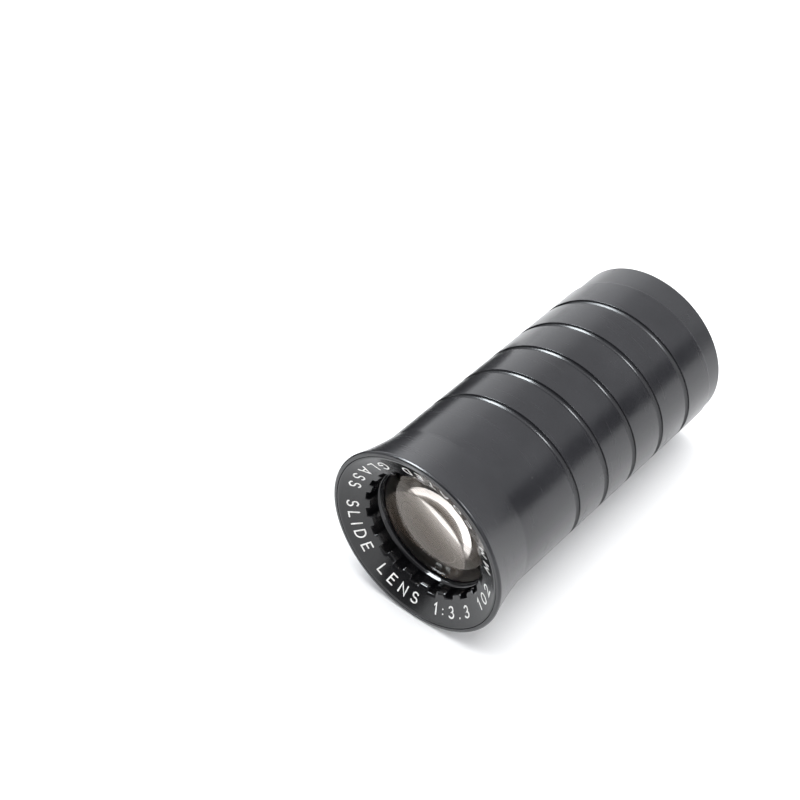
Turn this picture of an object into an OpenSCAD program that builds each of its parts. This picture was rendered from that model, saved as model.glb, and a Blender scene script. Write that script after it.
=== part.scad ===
// Projection lens in a moulded screw-focusing barrel.
// Every piece is drawn standing on its front rim, with z as the distance behind the rim plane.
// lay_down() then turns the optical axis along Y, with the front facing -Y and +Z up.

/* [Barrel] */
// Outside diameter of the straight barrel
barrel_d = 44.45; // [42:0.05:47]
// Outside diameter of the bell-shaped front rim
rim_d = 49.6; // [49:0.1:52]
// Overall length of the barrel
barrel_l = 93.6; // [85:0.1:100]
// Length of the bell, from the rim to the straight barrel
flare_l = 13.5; // [11:0.5:16]
// How far the bell's wall curves inwards from a straight cone
flare_sag = 0.3; // [0.1:0.05:0.6]
// Radius of the rounding on the rim's outer edge
rim_round = 0.6; // [0.3:0.05:0.8]
// Inside radius of the tube behind the lens cell, at the rear end
rear_bore_r = 19.3; // [18.9:0.1:19.8]

/* [Focusing groove] */
// Axial advance of the groove in one turn
groove_pitch = 11.4; // [10:0.1:13]
// Width of the groove at the barrel's surface
groove_w = 1.8; // [1.4:0.05:2.2]
// Depth of the groove
groove_depth = 0.85; // [0.5:0.05:1.1]
// Distance behind the rim at which the groove starts
groove_start_z = 28.4; // [26:0.1:31]
// Angle of the groove's start, from +X towards +Z seen from the front
groove_start_angle = 152; // [100:1:170]
// Turns of the groove before the land behind it ends
groove_turns = 4.975; // [4.8:0.005:5.1]
// Step down from the barrel to the band behind the last shoulder
band_step = 0.4; // [0.25:0.05:0.6]
// Distance of the band's shoulder in front of the groove's front wall
shoulder_lead = 0.35; // [0.15:0.05:0.5]

/* [Name ring] */
// Outside radius of the ring's lettered face
ring_face_r = 23.65; // [23.3:0.05:23.8]
// Radius at the bottom of the spanner notches
notch_r = 17.4; // [17:0.05:17.8]
// Inside radius of the lands between the notches
land_r = 16.45; // [16.2:0.05:16.8]
// Number of spanner notches
notch_count = 20; // [12:1:24]
// Width of a notch, measured as an angle
notch_angle = 8.4; // [6:0.1:10]
// Angle of one notch's centre, from +X towards +Z seen from the front
notch_first_angle = 11; // [0:1:18]
// Depth of the ring's inner edge behind the rim plane
ring_inner_z = 3.4; // [3:0.1:4]
// Distance of the ring's back face behind the rim plane
ring_back_z = 6.6; // [6:0.1:7]
// Outside radius of the ring's screw thread
ring_thread_r = 22.2; // [21.8:0.05:22.4]

/* [Optics] */
// Outside radius of the front and rear glasses
glass_r = 17; // [16.5:0.1:17.4]
// Outside radius of the middle glass
middle_glass_r = 14; // [13.5:0.1:14.5]
// Distance of the front glass's vertex behind the rim plane
front_vertex_z = 4.25; // [4:0.05:4.4]
// Radius of the hole in the stop
stop_hole_r = 11.6; // [10:0.1:12]

/* [Lens cell] */
// Outside radius of the tube that holds the glasses
cell_r = 19.8; // [19.5:0.05:20]
// Distance of the cell's front face behind the rim plane
cell_front_z = 8.3; // [8:0.1:8.6]
// Distance of the cell's back face behind the rim plane
cell_back_z = 46.4; // [46:0.1:48]
// Outside radius of the rear retaining ring's screw thread
rear_thread_r = 18; // [17.7:0.05:18.2]

/* [Hidden] */
$fn = 96;

// Gap left between pieces that slide or turn on each other, and between stacked pieces
running_gap = 0.06;
slip_fit = 0.04;
stack_gap = 0.05;
// Overrun that takes a cut clear of the surface it cuts
over = 1;
// Chamfer on the edges of the threads and bores, and the finer one on the lip round the name ring
chamfer = 0.4;
lip_chamfer = 0.15;

barrel_r = barrel_d / 2;
rim_r = rim_d / 2;

// Counterbore for the name ring's head, and the ledge that the head sits on
head_bore_r = ring_face_r + running_gap;
head_depth = 1.6;
ring_bore_r = ring_thread_r + running_gap;
ring_bore_l = ring_back_z + 0.6;
cell_bore_r = cell_r + running_gap;
cell_ledge_z = cell_back_z + stack_gap;
ledge_bore_r = 18.8;
ledge_l = 1;
rear_edge_round = 0.3;

// Radii of curvature and thicknesses of the three glasses, front to rear
front_curve_r = 36;
front_back_curve_r = 120;
front_thick = 7.35;
middle_front_curve_r = 45.1;
middle_back_curve_r = 41.2;
middle_thick = 2;
rear_front_curve_r = 161.9;
rear_curve_r = 37.4;
rear_thick = 7;
front_air = 12.2;
rear_air = 9.7;
glass_steps = 14;
front_back_z = front_vertex_z + front_thick;
middle_vertex_z = front_back_z + front_air;
middle_back_z = middle_vertex_z + middle_thick;
rear_vertex_z = middle_back_z + rear_air;
rear_back_z = rear_vertex_z + rear_thick;

// Depth of a sphere's cap at the radius h
function sag(curve_r, h) = curve_r - sqrt(curve_r * curve_r - h * h);

// Points of a glass surface from the axis to the radius edge_r, in the radius-z plane.
// bend is 1 where the surface falls back towards the rear, and -1 where it falls forward.
function glass_surface(vertex_z, curve_r, bend, edge_r) = [
    for (i = [0 : glass_steps])
        let (h = edge_r * i / glass_steps)
            [h, vertex_z + bend * sag(curve_r, h)]
];

function reversed(list) = [for (i = [len(list) - 1 : -1 : 0]) list[i]];

// Edges of the glasses, where the mounts touch them
front_edge_front_z = front_vertex_z + sag(front_curve_r, glass_r);
front_edge_back_z = front_back_z - sag(front_back_curve_r, glass_r);
middle_flat_r = middle_glass_r - 1.5;
middle_edge_front_z = middle_vertex_z - sag(middle_front_curve_r, middle_flat_r);
middle_edge_back_z = middle_back_z + sag(middle_back_curve_r, middle_flat_r);
rear_edge_front_z = rear_vertex_z + sag(rear_front_curve_r, glass_r);
rear_edge_back_z = rear_back_z - sag(rear_curve_r, glass_r);

cell_bore_in_r = glass_r + running_gap;
tube_r = glass_r - slip_fit;
spacer_in_r = glass_r - 1.3;
rear_thread_z = rear_edge_back_z - 0.3;

// The slip ring between the name ring and the front glass
slip_flange_z = ring_back_z + stack_gap;
slip_outer_r = cell_r - 0.2;
slip_collar_r = land_r - 0.07;
slip_clear_r = land_r - 0.8;
slip_lip_round = 2;

stop_thick = 0.5;
stop_front_z = middle_edge_back_z + stack_gap;
stop_r = middle_glass_r - slip_fit;
throat_z = stop_front_z + stop_thick + stack_gap;

washer_thick = 0.8;
washer_in_r = 15.5;
washer_front_z = rear_edge_back_z + 0.75;
rear_ring_front_z = washer_front_z + washer_thick + stack_gap;
rear_ring_back_z = rear_ring_front_z + 3.6;

// Turns the optical axis from +Z to +Y and centres the barrel's length on the origin
module lay_down() {
    translate([0, -barrel_l / 2, 0])
        rotate([-90, 0, 0])
            children();
}

// Solid of revolution about z from points given as [radius, z]
module turned(points) {
    rotate_extrude($fn = 96)
        polygon(points);
}

// Points of an arc in the radius-z plane
function arc(centre, r, from, to, steps = 6) = [
    for (i = [0 : steps])
        let (a = from + (to - from) * i / steps)
            [centre[0] + r * cos(a), centre[1] + r * sin(a)]
];

// Closed solid swept along a helix that turns and advances with t, counted in turns.
// rings[i] is the ring's outline as [radius, z] points and angles[i] is its angle.
module helical_sweep(rings, angles) {
    n = len(rings[0]);
    last = len(rings) - 1;
    points = [
        for (i = [0 : last])
            for (p = rings[i])
                [p[0] * cos(angles[i]), p[0] * sin(angles[i]), p[1]]
    ];
    sides = [
        for (i = [0 : last - 1])
            for (j = [0 : n - 1])
                let (a = i * n + j, b = i * n + (j + 1) % n)
                    each [[a, b, b + n], [a, b + n, a + n]]
    ];
    start_cap = [for (j = [n - 1 : -1 : 0]) j];
    end_cap = [for (j = [0 : n - 1]) last * n + j];
    polyhedron(points = points, faces = concat(sides, [start_cap, end_cap]), convexity = 12);
}

// Angle and depth of the groove's centre line after t turns, in the standing frame
function groove_angle(t) = -groove_start_angle + 360 * t;
function groove_z(t) = groove_start_z + groove_pitch * t;

groove_steps = 60;
// Turns over which the groove comes in from the surface, and dies out in the band behind the land
taper_turns = 0.06;
fade_turns = 0.05;

// Depth of the groove after t turns; below 0 its floor is clear of the barrel
function groove_floor(t) =
    let (rise = t / taper_turns, fall = (groove_turns + fade_turns - t) / fade_turns)
        let (share = min(1, rise, fall))
            groove_depth * (1.15 * sqrt(max(0, share)) - 0.15);

// Outline of the groove, centred on z: half an ellipse with walls that open out at the surface
function groove_outline(z, depth) =
    let (h = groove_w / 2, lip = 12, steps = 6)
    concat(
        [[barrel_r + over, z - h * 1.25], [barrel_r + over, z + h * 1.25]],
        [
            for (i = [0 : steps])
                let (a = lip + (180 - 2 * lip) * i / steps)
                    [barrel_r - depth * sin(a), z + h * cos(a)]
        ]
    );

module focusing_groove() {
    count = ceil((groove_turns + fade_turns) * groove_steps);
    turns = [for (i = [0 : count]) i * (groove_turns + fade_turns) / count];
    helical_sweep(
        [for (t = turns) groove_outline(groove_z(t), groove_floor(t))],
        [for (t = turns) groove_angle(t)]
    );
}

// Region behind the last shoulder, where the barrel is a little smaller
module rear_band() {
    first = groove_turns;
    last = (barrel_l + over - groove_start_z) / groove_pitch;
    count = ceil((last - first) * groove_steps);
    turns = [for (i = [0 : count]) first + (last - first) * i / count];
    reach = 20;
    inner = barrel_r - 3 * over;
    outer = barrel_r + 3 * over;
    intersection() {
        difference() {
            translate([0, 0, barrel_l - reach])
                cylinder(r = barrel_r + over, h = reach + over);
            translate([0, 0, barrel_l - reach - over])
                cylinder(r = barrel_r - band_step, h = reach + 3 * over);
        }
        helical_sweep(
            [
                for (t = turns)
                    let (z = groove_z(t) - groove_w / 2 - shoulder_lead)
                        [
                            [outer, z],
                            [outer, barrel_l + 3 * over],
                            [inner, barrel_l + 3 * over],
                            [inner, z]
                        ]
            ],
            [for (t = turns) groove_angle(t)]
        );
    }
}

// Bell-shaped front, as a shallow arc that meets the straight barrel at a faint break
function flare_points() =
    let (steps = 10)
    [
        for (i = [0 : steps])
            let (u = i / steps)
                [
                    rim_r + (barrel_r - rim_r) * u - 4 * flare_sag * u * (1 - u),
                    rim_round + (flare_l - rim_round) * u
                ]
    ];

module barrel_body() {
    turned(concat(
        [[head_bore_r, head_depth], [head_bore_r, lip_chamfer], [head_bore_r + lip_chamfer, 0]],
        arc([rim_r - rim_round, rim_round], rim_round, -90, 0, 5),
        flare_points(),
        arc([barrel_r - rear_edge_round, barrel_l - rear_edge_round], rear_edge_round, 0, 90, 4),
        [
            [rear_bore_r + chamfer, barrel_l],
            [rear_bore_r, barrel_l - chamfer],
            [ledge_bore_r, cell_ledge_z + ledge_l],
            [ledge_bore_r, cell_ledge_z],
            [cell_bore_r, cell_ledge_z],
            [cell_bore_r, ring_bore_l + 2 * chamfer],
            [ring_bore_r, ring_bore_l],
            [ring_bore_r, head_depth]
        ]
    ));
}

module barrel() {
    color([0.06, 0.06, 0.065])
        lay_down()
            difference() {
                barrel_body();
                focusing_groove();
                rear_band();
            }
}

// One spanner notch, cut through the name ring's inner edge
module notch() {
    half = notch_r * tan(notch_angle / 2);
    intersection() {
        translate([0, -half, 0])
            cube([notch_r + over, 2 * half, ring_back_z + over]);
        translate([0, 0, -over])
            cylinder(r = notch_r, h = ring_back_z + 3 * over);
    }
}

module name_ring() {
    relief_r = ring_thread_r - 0.7;
    color([0.06, 0.06, 0.065])
        lay_down()
            difference() {
                turned([
                    [land_r, ring_inner_z + 0.2],
                    [land_r + 0.2, ring_inner_z],
                    [ring_face_r - 0.4, 0.05],
                    [ring_face_r - 0.1, 0.05],
                    [ring_face_r, 0.15],
                    [ring_face_r, head_depth - stack_gap],
                    [relief_r, head_depth - stack_gap],
                    [relief_r, head_depth + 0.6],
                    [ring_thread_r, head_depth + 0.9],
                    [ring_thread_r, ring_back_z - chamfer],
                    [ring_thread_r - chamfer, ring_back_z],
                    [land_r, ring_back_z]
                ]);
                for (i = [0 : notch_count - 1])
                    rotate([0, 0, -notch_first_angle - i * 360 / notch_count])
                        notch();
            }
}

// Glossy ring that bears on the front glass and lets the name ring turn without rubbing it
module front_slip_ring() {
    seat_out_r = glass_r - 0.2;
    seat_out_z = front_vertex_z + sag(front_curve_r, seat_out_r) - stack_gap;
    seat_z = front_vertex_z + sag(front_curve_r, slip_clear_r) - stack_gap;
    color([0.05, 0.05, 0.055])
        lay_down()
            turned(concat(
                arc([slip_clear_r + slip_lip_round, seat_z], slip_lip_round, 180, 228, 8),
                [
                    [slip_collar_r, slip_flange_z],
                    [slip_outer_r, slip_flange_z],
                    [slip_outer_r, cell_front_z - stack_gap],
                    [glass_r + 0.1, cell_front_z - stack_gap],
                    [seat_out_r, seat_out_z]
                ]
            ));
}

module lens_cell() {
    thread_bore_r = rear_thread_r + running_gap;
    color([0.09, 0.09, 0.095])
        lay_down()
            turned([
                [cell_bore_in_r, cell_front_z],
                [cell_r - chamfer, cell_front_z],
                [cell_r, cell_front_z + chamfer],
                [cell_r, cell_back_z - chamfer],
                [cell_r - chamfer, cell_back_z],
                [thread_bore_r + chamfer, cell_back_z],
                [thread_bore_r, cell_back_z - chamfer],
                [thread_bore_r, rear_thread_z],
                [cell_bore_in_r, rear_thread_z]
            ]);
}

// One glass: its front surface, then its back surface, joined by the ground edge
module glass(front_points, back_points) {
    color([0.75, 0.72, 0.68, 0.4])
        lay_down()
            turned(concat(front_points, reversed(back_points)));
}

module front_element() {
    glass(
        glass_surface(front_vertex_z, front_curve_r, 1, glass_r),
        glass_surface(front_back_z, front_back_curve_r, -1, glass_r)
    );
}

// Tube between the front and middle glasses, with a conical bore that stops stray light
module front_spacer() {
    nose_r = middle_glass_r - 0.2;
    front_z = front_back_z - sag(front_back_curve_r, spacer_in_r) + stack_gap;
    back_z = middle_edge_front_z - stack_gap;
    color([0.1, 0.1, 0.1])
        lay_down()
            turned([
                [spacer_in_r, front_z],
                [tube_r, front_z],
                [tube_r, back_z - 3],
                [nose_r, back_z - 1],
                [nose_r, back_z],
                [middle_flat_r, back_z],
                [middle_flat_r, back_z - 1.5]
            ]);
}

module middle_element() {
    glass(
        concat(
            glass_surface(middle_vertex_z, middle_front_curve_r, -1, middle_flat_r),
            [[middle_glass_r, middle_edge_front_z]]
        ),
        concat(
            glass_surface(middle_back_z, middle_back_curve_r, 1, middle_flat_r),
            [[middle_glass_r, middle_edge_back_z]]
        )
    );
}

module aperture_stop() {
    color([0.08, 0.08, 0.08])
        lay_down()
            translate([0, 0, stop_front_z])
                difference() {
                    cylinder(r = stop_r, h = stop_thick);
                    translate([0, 0, -over])
                        cylinder(r = stop_hole_r, h = stop_thick + 2 * over);
                }
}

// Cup that carries the middle glass and the stop, and spaces them from the rear glass
module rear_spacer() {
    cup_r = middle_glass_r + running_gap;
    cup_front_z = middle_edge_front_z + 1;
    throat_r = stop_hole_r + 0.6;
    back_z = rear_edge_front_z - stack_gap;
    color([0.1, 0.1, 0.1])
        lay_down()
            turned([
                [cup_r, cup_front_z],
                [tube_r, cup_front_z],
                [tube_r, back_z],
                [spacer_in_r, back_z - 0.2],
                [throat_r, throat_z + 1.5],
                [throat_r, throat_z],
                [cup_r, throat_z]
            ]);
}

module rear_element() {
    glass(
        glass_surface(rear_vertex_z, rear_front_curve_r, 1, glass_r),
        glass_surface(rear_back_z, rear_curve_r, -1, glass_r)
    );
}

// Fibre washer that lies on the rear glass's curved face
module rear_washer() {
    touch_z = rear_back_z - sag(rear_curve_r, washer_in_r) + stack_gap;
    color([0.32, 0.2, 0.13])
        lay_down()
            turned([
                [washer_in_r, touch_z],
                [glass_r, washer_front_z - 0.55],
                [rear_thread_r - 0.5, washer_front_z - 0.55],
                [rear_thread_r - 0.5, washer_front_z + washer_thick],
                [washer_in_r, washer_front_z + washer_thick]
            ]);
}

module rear_retaining_ring() {
    slot_w = 1.6;
    slot_depth = 1.4;
    ring_in_r = 15;
    color([0.09, 0.09, 0.095])
        lay_down()
            difference() {
                turned([
                    [ring_in_r, rear_ring_front_z],
                    [rear_thread_r - chamfer, rear_ring_front_z],
                    [rear_thread_r, rear_ring_front_z + chamfer],
                    [rear_thread_r, rear_ring_back_z - chamfer],
                    [rear_thread_r - chamfer, rear_ring_back_z],
                    [ring_in_r + 1, rear_ring_back_z],
                    [ring_in_r, rear_ring_back_z - 1.6]
                ]);
                for (side = [0, 180])
                    rotate([0, 0, side])
                        translate([ring_in_r - over, -slot_w / 2, rear_ring_back_z - slot_depth])
                            cube([rear_thread_r - ring_in_r + 2 * over, slot_w, slot_depth + over]);
            }
}

barrel();
name_ring();
front_slip_ring();
lens_cell();
front_element();
front_spacer();
middle_element();
aperture_stop();
rear_spacer();
rear_element();
rear_washer();
rear_retaining_ring();
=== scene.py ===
"""A projection lens in a moulded barrel, lying on a pale table.

Pieces are drawn in the lens's own terms, in millimetres: r from the optical axis, an angle in
degrees from +X towards +Z as seen from the front, and s behind the front rim. point() turns those
into the frame's metres.
"""

import math

import bpy
from mathutils import Matrix, Vector


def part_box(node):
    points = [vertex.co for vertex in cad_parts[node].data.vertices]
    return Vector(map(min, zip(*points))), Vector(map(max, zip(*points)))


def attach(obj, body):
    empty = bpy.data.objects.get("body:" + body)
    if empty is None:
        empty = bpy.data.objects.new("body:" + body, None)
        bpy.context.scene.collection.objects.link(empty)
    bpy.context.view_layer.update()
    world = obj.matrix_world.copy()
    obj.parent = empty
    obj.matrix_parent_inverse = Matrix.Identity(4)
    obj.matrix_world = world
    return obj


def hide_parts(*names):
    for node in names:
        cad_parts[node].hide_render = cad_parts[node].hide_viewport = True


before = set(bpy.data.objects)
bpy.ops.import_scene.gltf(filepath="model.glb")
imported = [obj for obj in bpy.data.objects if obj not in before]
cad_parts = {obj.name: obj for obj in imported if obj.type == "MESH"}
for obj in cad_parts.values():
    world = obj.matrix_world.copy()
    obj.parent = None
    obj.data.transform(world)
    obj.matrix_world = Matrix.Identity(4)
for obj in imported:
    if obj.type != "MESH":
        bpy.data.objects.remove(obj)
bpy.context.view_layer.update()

# ---------------------------------------------------------------- sizes

MM = 0.001
RIM_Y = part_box("barrel")[0].y
BARREL_L = (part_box("barrel")[1].y - RIM_Y) / MM
RIM_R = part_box("barrel")[1].x / MM
BARREL_R = 22.225

# Bell front
RIM_ROUND = 0.6
FLARE_L = 13.5
FLARE_SAG = 0.3

# Focusing groove and the band behind its last shoulder
GROOVE_PITCH = 11.4
GROOVE_HALF_W = 0.9
GROOVE_DEPTH = 0.85
GROOVE_START_S = 28.4
GROOVE_START_ANGLE = 152.0
GROOVE_TURNS = 4.975
# Turns over which the groove is still level at its start, deepens, and dies out at its end
GROOVE_HOLD = 0.0006
GROOVE_TAPER = 0.06
GROOVE_FADE = 0.05
BAND_STEP = 0.4
SHOULDER_LEAD = 0.35

# Name ring
FACE_R = 23.65
FACE_EDGE_R = 23.3
NOTCH_R = 17.4
LAND_R = 16.45
NOTCHES = 20
NOTCH_HALF_ANGLE = 4.2
NOTCH_FIRST_ANGLE = 11.0
RING_INNER_S = 3.4
RING_BACK_S = 6.6
RING_THREAD_R = 22.17
THREAD_DEPTH = 0.42
RING_PITCH = 1.25

# Lens cell
CELL_FRONT_S = 8.3
CELL_BACK_S = 46.4
CELL_R = 19.8
REAR_THREAD_R = 17.97
REAR_PITCH = 1.0

# Gaps between pieces: round ones in their bores, screw threads, tubes pushed home, stacked ones
RUNNING_GAP = 0.06
THREAD_GAP = 0.09
SLIP_FIT = 0.04
STACK_GAP = 0.05


def point(r, angle, s):
    """The place in the frame of a point given in the lens's own terms."""
    a = math.radians(angle)
    return Vector((r * math.cos(a) * MM, RIM_Y + s * MM, r * math.sin(a) * MM))


# ---------------------------------------------------------------- mesh building


def volume(mesh):
    """Six times the signed volume, which is negative when the faces point inwards."""
    mesh.calc_loop_triangles()
    corners = ((mesh.vertices[i].co for i in t.vertices) for t in mesh.loop_triangles)
    return sum(a.dot(b.cross(c)) for a, b, c in corners)


def finish_mesh(name, verts, faces, material, body, node=None, sharp=40):
    """One visual piece: faces outwards, smooth but for its sharp edges, and riding on its body."""
    mesh = bpy.data.meshes.new(name)
    mesh.from_pydata([tuple(v) for v in verts], [], faces)
    mesh.validate()
    if volume(mesh) < 0:
        mesh.flip_normals()
    mesh.materials.append(material)
    mesh.polygons.foreach_set("use_smooth", [True] * len(mesh.polygons))
    mesh.set_sharp_from_angle(angle=math.radians(sharp))
    piece = bpy.data.objects.new(name, mesh)
    bpy.context.scene.collection.objects.link(piece)
    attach(piece, body)
    if node:
        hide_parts(node)
    return piece


def loop_skin(columns):
    """Vertices and faces of a ring.

    Columns are (angle, [(r, s), ...]), and each outline closes on itself.
    """
    n = len(columns[0][1])
    verts = [point(r, angle, s) for angle, outline in columns for r, s in outline]
    faces = []
    for k in range(len(columns)):
        a, b = k * n, ((k + 1) % len(columns)) * n
        for i in range(n):
            j = (i + 1) % n
            faces.append((a + i, b + i, b + j, a + j))
    return verts, faces


def turned(name, outline, material, body, node, segments=240, sharp=40):
    """A ring of one outline, turned about the optical axis."""
    columns = [(360.0 * k / segments, outline) for k in range(segments)]
    verts, faces = loop_skin(columns)
    finish_mesh(name, verts, faces, material, body, node, sharp)


def turned_solid(name, outline, material, body, node, segments=192):
    """A solid whose outline starts and ends on the axis, such as a glass."""
    inner = outline[1:-1]
    n = len(inner)
    verts = [point(r, 360.0 * k / segments, s) for k in range(segments) for r, s in inner]
    first, last = len(verts), len(verts) + 1
    verts += [point(0, 0, outline[0][1]), point(0, 0, outline[-1][1])]
    faces = []
    for k in range(segments):
        a, b = k * n, ((k + 1) % segments) * n
        faces += [(a + i, b + i, b + i + 1, a + i + 1) for i in range(n - 1)]
        faces += [(first, b, a), (last, a + n - 1, b + n - 1)]
    finish_mesh(name, verts, faces, material, body, node, sharp=30)


def blunted(corners, size=0.12, steps=3):
    """An outline with each corner rounded off by a small arc, and held square beside it."""
    out = []
    n = len(corners)
    hold = 1.6
    for i in range(n):
        before, corner, after = (Vector(corners[(i + d) % n]) for d in (-1, 0, 1))
        u, v = before - corner, after - corner
        cut = min(size, u.length * 0.3, v.length * 0.3)
        u.normalize()
        v.normalize()
        start, end = corner + u * cut, corner + v * cut
        out.append(tuple(corner + u * cut * hold))
        for k in range(steps + 1):
            w = k / steps
            out.append(tuple(start * (1 - w) ** 2 + corner * 2 * w * (1 - w) + end * w ** 2))
        out.append(tuple(corner + v * cut * hold))
    return out


def sag(curve_r, h):
    """Depth of a sphere's cap at the radius h."""
    return curve_r - math.sqrt(curve_r * curve_r - h * h)


def thread_dip(s, angle, pitch, depth):
    """How far a thread lies under its crests: straight flanks between flat crests and roots."""
    root_half, flank = 0.08, 0.3
    u = (s / pitch + angle / 360.0) % 1.0
    up = min(max((abs(u - 0.5) - root_half) / flank, 0.0), 1.0)
    return depth * (1 - up)


def run_in(k, steps, over=5):
    """The share of its height that a screw has at step k, as it runs in and out over a few steps."""
    return min(1.0, (k + 1) / over, (steps - k + 1) / over)


# ---------------------------------------------------------------- materials


def shader(name):
    """A new material with what its builder needs: nodes, links, shader and object coordinates."""
    material = bpy.data.materials.new(name)
    material.use_nodes = True
    nodes, links = material.node_tree.nodes, material.node_tree.links
    bsdf = nodes["Principled BSDF"]
    coords = nodes.new("ShaderNodeTexCoord").outputs["Object"]
    return material, nodes, links, bsdf, coords


def noise_at(nodes, links, coords, scale, detail, roughness, stretch=None):
    """Noise in object coordinates, stretched along the axes if asked."""
    source = coords
    if stretch:
        mapping = nodes.new("ShaderNodeMapping")
        mapping.inputs["Scale"].default_value = stretch
        links.new(coords, mapping.inputs["Vector"])
        source = mapping.outputs["Vector"]
    texture = nodes.new("ShaderNodeTexNoise")
    texture.inputs["Scale"].default_value = scale
    texture.inputs["Detail"].default_value = detail
    texture.inputs["Roughness"].default_value = roughness
    links.new(source, texture.inputs["Vector"])
    return texture.outputs["Fac"]


def ramp(nodes, links, fac, low, high, start, end):
    """Maps fac between low and high to a grey or a colour between start and end."""
    node = nodes.new("ShaderNodeValToRGB")
    node.color_ramp.elements[0].position = low
    node.color_ramp.elements[1].position = high
    for element, value in zip(node.color_ramp.elements, (start, end)):
        colour = (value,) * 3 if isinstance(value, float) else value
        element.color = (*colour, 1.0)
    links.new(fac, node.inputs["Fac"])
    return node.outputs["Color"]


def larger(nodes, links, a, b):
    """The larger of two values at each point."""
    node = nodes.new("ShaderNodeMath")
    node.operation = "MAXIMUM"
    links.new(a, node.inputs[0])
    links.new(b, node.inputs[1])
    return node.outputs["Value"]


def bump(nodes, links, height, strength, distance, normal=None):
    """Relief from a height, laid over another relief if one is given."""
    node = nodes.new("ShaderNodeBump")
    node.inputs["Strength"].default_value = strength
    node.inputs["Distance"].default_value = distance
    links.new(height, node.inputs["Height"])
    if normal:
        links.new(normal, node.inputs["Normal"])
    return node.outputs["Normal"]


def moulded(name, dark, light, rough_low, rough_high, grain):
    """Black moulded phenolic: cloudy gloss, hairline rubs round it, and a few specks of dust."""
    material, nodes, links, bsdf, coords = shader(name)
    cloud = noise_at(nodes, links, coords, 70.0, 5.0, 0.6)
    colour = ramp(nodes, links, cloud, 0.35, 0.72, dark, light)
    specks = noise_at(nodes, links, coords, 2600.0, 2.0, 0.5)
    dust = ramp(nodes, links, specks, 0.78, 0.82, (0.0, 0.0, 0.0), (0.55, 0.53, 0.5))
    # A Mix node's colour sockets are its inputs 6 and 7 and its output 2.
    add = nodes.new("ShaderNodeMix")
    add.data_type = "RGBA"
    add.blend_type = "ADD"
    add.inputs["Factor"].default_value = 0.5
    links.new(colour, add.inputs[6])
    links.new(dust, add.inputs[7])
    links.new(add.outputs[2], bsdf.inputs["Base Color"])
    rubs = noise_at(nodes, links, coords, 520.0, 3.0, 0.65, stretch=(0.12, 2.2, 0.12))
    cloud_rough = ramp(nodes, links, cloud, 0.3, 0.75, rough_low, rough_high)
    rub_rough = ramp(nodes, links, rubs, 0.58, 0.74, rough_low, rough_high + 0.08)
    links.new(larger(nodes, links, cloud_rough, rub_rough), bsdf.inputs["Roughness"])
    fine = noise_at(nodes, links, coords, 3200.0, 3.0, 0.6)
    soft = noise_at(nodes, links, coords, 160.0, 2.0, 0.5)
    normal = bump(nodes, links, soft, 0.12, 0.00004)
    links.new(bump(nodes, links, fine, grain, 0.000008, normal), bsdf.inputs["Normal"])
    return material


def metal_black(name, colour, rough_low, rough_high, metallic):
    """Blackened or anodised metal with the fine turning marks of a lathe."""
    material, nodes, links, bsdf, coords = shader(name)
    marks = noise_at(nodes, links, coords, 900.0, 3.0, 0.6, stretch=(0.05, 3.0, 0.05))
    lighter = tuple(c * 1.6 + 0.004 for c in colour)
    links.new(ramp(nodes, links, marks, 0.35, 0.7, colour, lighter), bsdf.inputs["Base Color"])
    links.new(ramp(nodes, links, marks, 0.3, 0.75, rough_low, rough_high), bsdf.inputs["Roughness"])
    bsdf.inputs["Metallic"].default_value = metallic
    links.new(bump(nodes, links, marks, 0.4, 0.00002), bsdf.inputs["Normal"])
    return material


def fibre_red(name):
    """Vulcanised fibre: a dull red-brown sheet with short flecks."""
    material, nodes, links, bsdf, coords = shader(name)
    flecks = noise_at(nodes, links, coords, 1500.0, 5.0, 0.7)
    colour = ramp(nodes, links, flecks, 0.35, 0.7, (0.13, 0.045, 0.022), (0.26, 0.1, 0.05))
    links.new(colour, bsdf.inputs["Base Color"])
    links.new(ramp(nodes, links, flecks, 0.3, 0.7, 0.62, 0.8), bsdf.inputs["Roughness"])
    links.new(bump(nodes, links, flecks, 0.5, 0.00003), bsdf.inputs["Normal"])
    return material


def optical_glass(name, tint):
    """Polished, thinly coated glass, with a trace of dust that dulls it here and there."""
    material, nodes, links, bsdf, coords = shader(name)
    bsdf.inputs["Base Color"].default_value = (*tint, 1.0)
    bsdf.inputs["Transmission Weight"].default_value = 1.0
    bsdf.inputs["IOR"].default_value = 1.62
    bsdf.inputs["Specular Tint"].default_value = (0.38, 0.29, 0.205, 1.0)
    film = noise_at(nodes, links, coords, 130.0, 4.0, 0.6)
    links.new(ramp(nodes, links, film, 0.45, 0.8, 0.0, 0.03), bsdf.inputs["Roughness"])
    fine = noise_at(nodes, links, coords, 900.0, 2.0, 0.5)
    links.new(bump(nodes, links, fine, 0.02, 0.000002), bsdf.inputs["Normal"])
    return material


def white_fill(name):
    """Engraving paint: chalky white, a little uneven and soiled."""
    material, nodes, links, bsdf, coords = shader(name)
    grime = noise_at(nodes, links, coords, 1100.0, 4.0, 0.6)
    colour = ramp(nodes, links, grime, 0.3, 0.62, (0.68, 0.67, 0.64), (0.93, 0.93, 0.91))
    links.new(colour, bsdf.inputs["Base Color"])
    links.new(ramp(nodes, links, grime, 0.3, 0.7, 0.45, 0.65), bsdf.inputs["Roughness"])
    links.new(bump(nodes, links, grime, 0.5, 0.00002), bsdf.inputs["Normal"])
    return material


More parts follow.
